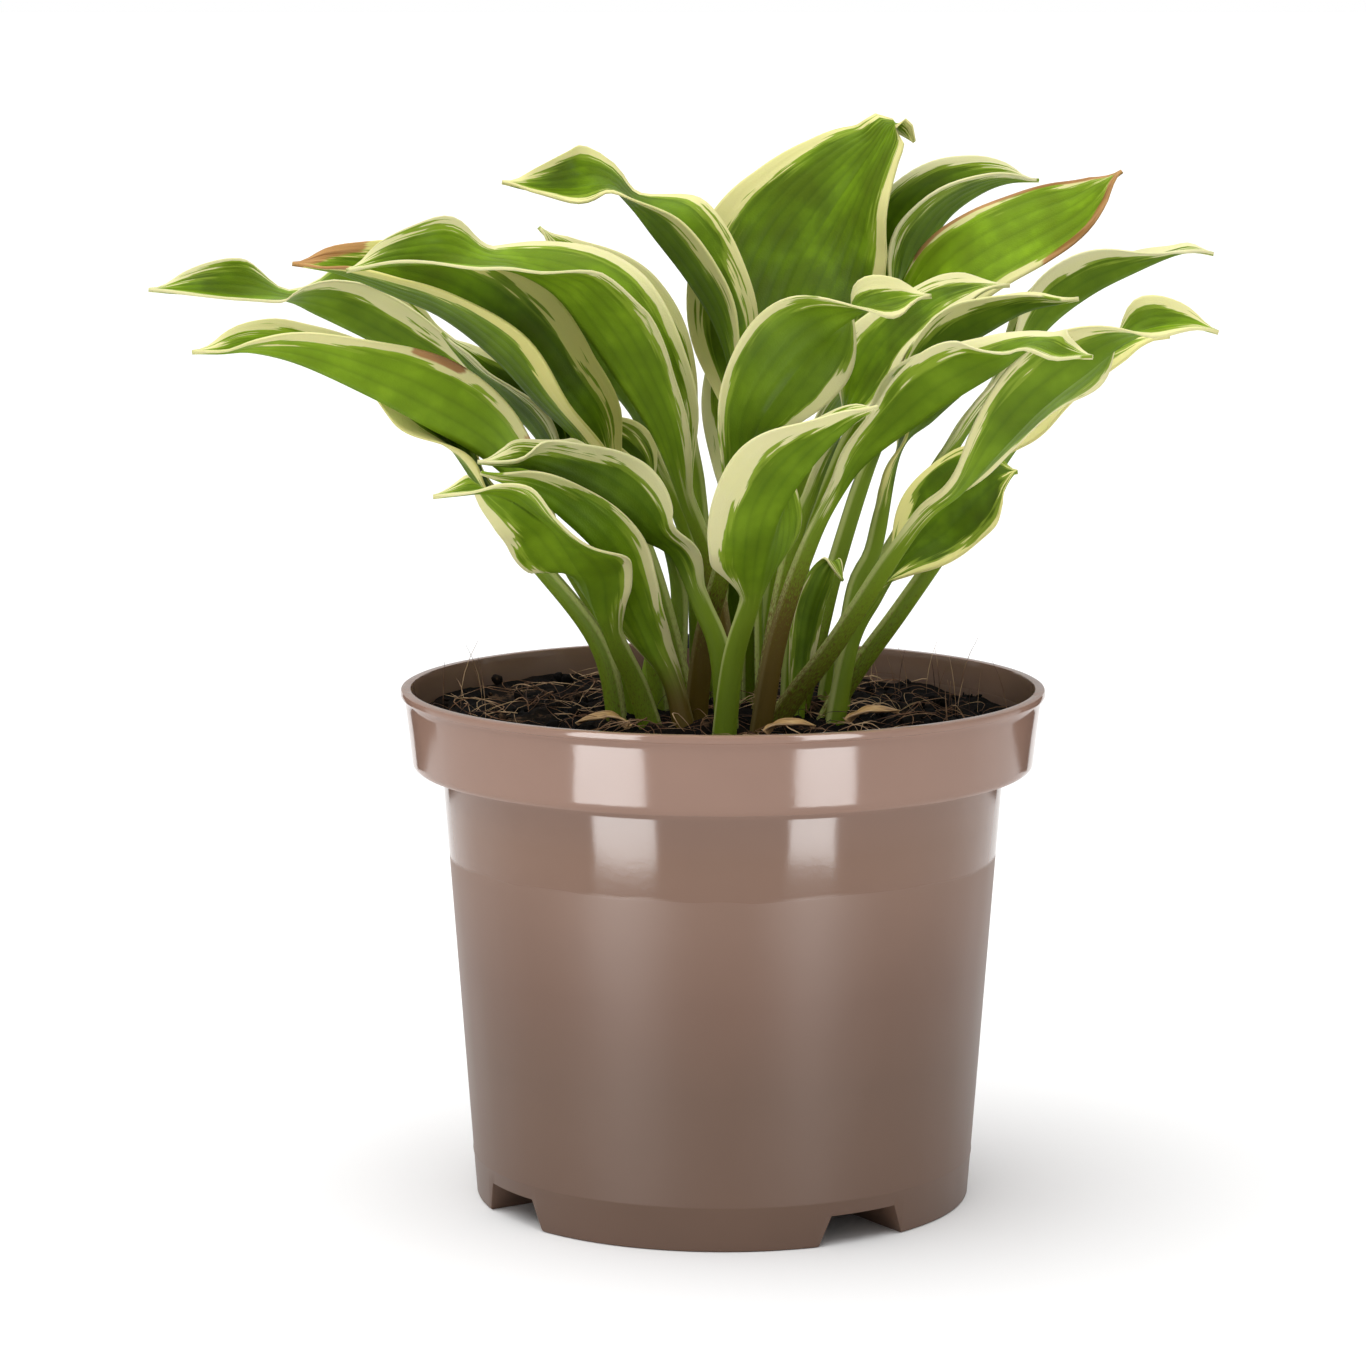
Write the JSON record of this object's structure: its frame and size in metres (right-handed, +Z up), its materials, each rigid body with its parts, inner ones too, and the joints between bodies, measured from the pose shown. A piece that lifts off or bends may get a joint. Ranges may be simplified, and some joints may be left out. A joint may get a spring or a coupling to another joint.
{
  "type": "potted hosta plant",
  "caption": "Variegated plantain lily with arching, wavy, cream-edged leaves on channelled stalks, in a tapered nursery pot filled with peat soil.",
  "frame": {"origin": "on the pot's axis, at the ground under the middle of its floor", "axes": "+Z up along the pot's axis, +X along the broad spread of the leaves, -Y towards the side where the front leaves arch over the rim"},
  "size_m": [0.3161, 0.19, 0.3168],
  "materials": {
    "pot_plastic": "glossy taupe-brown moulded plastic",
    "soil": "dark matt peat and coir",
    "leaf": "satin green leaf with ragged cream and yellow margins",
    "dried_sheath": "dry tan leaf sheath",
    "bark": "black rough bark"
  },
  "bodies": {
    "root": {"pot": "pot_plastic", "soil": "soil", "leaf_left_far": "leaf", "leaf_left_low": "leaf", "leaf_left_under": "leaf", "leaf_left_bands": "leaf", "leaf_left_tall": "leaf", "leaf_left_behind": "leaf", "leaf_upper_left": "leaf", "leaf_left_hooded": "leaf", "leaf_left_shaded": "leaf", "leaf_left_inner": "leaf", "leaf_middle_back": "leaf", "leaf_front_left": "leaf", "leaf_front_left_short": "leaf", "leaf_front_left_arch": "leaf", "leaf_tall_back": "leaf", "leaf_middle_ovate": "leaf", "leaf_front_middle": "leaf", "leaf_right_long": "leaf", "leaf_right_behind": "leaf", "leaf_right_dark": "leaf", "leaf_right_second": "leaf", "leaf_back_right": "leaf", "leaf_right_flat": "leaf", "leaf_right_far": "leaf", "leaf_right_front": "leaf", "leaf_right_hidden": "leaf", "leaf_right_low": "leaf", "leaf_young": "leaf", "scale_left": "dried_sheath", "scale_middle": "dried_sheath", "scale_right": "dried_sheath", "bark_chip": "bark"}
  },
  "joints": []
}
